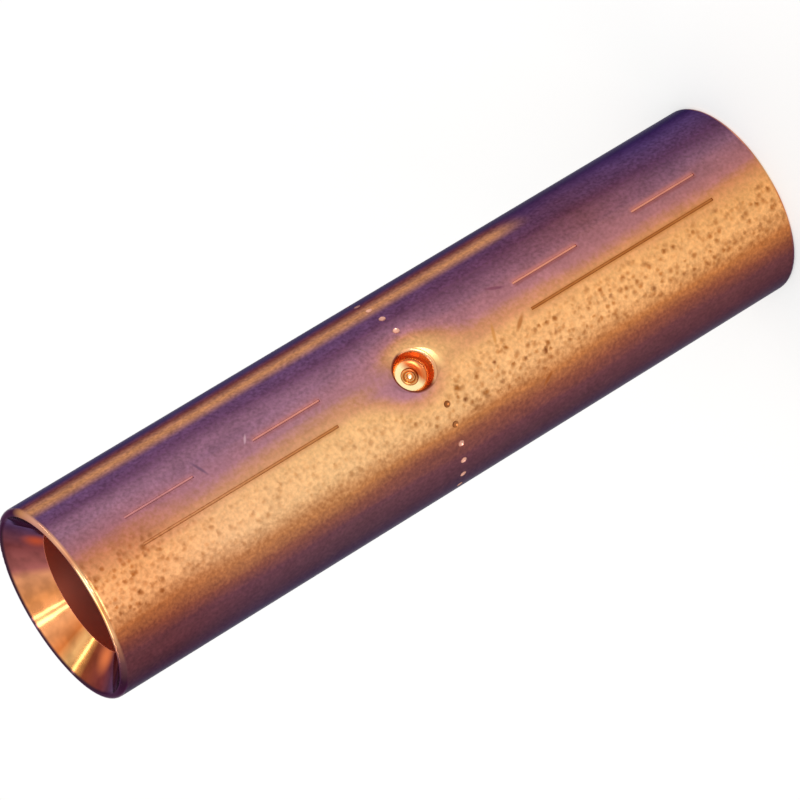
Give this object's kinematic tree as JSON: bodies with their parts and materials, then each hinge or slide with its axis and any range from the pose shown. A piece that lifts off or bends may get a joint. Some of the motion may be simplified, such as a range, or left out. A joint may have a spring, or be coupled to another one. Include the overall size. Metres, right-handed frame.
{
  "type": "compression splice",
  "caption": "Bare copper butt splice: a plain tube with funnelled ends, a punched stop at mid-length and crimp marks, crimped onto two conductors end to end.",
  "frame": {"origin": "centre of the lower end face, on which the tube stands", "axes": "+Z along the tube, from the lower end to the upper end; the punched stop faces -Y"},
  "size_m": [0.0125, 0.0124, 0.05],
  "materials": {
    "annealed_copper": "satin, with a heat tint"
  },
  "bodies": {
    "root": {"sleeve": "annealed_copper"}
  },
  "joints": []
}
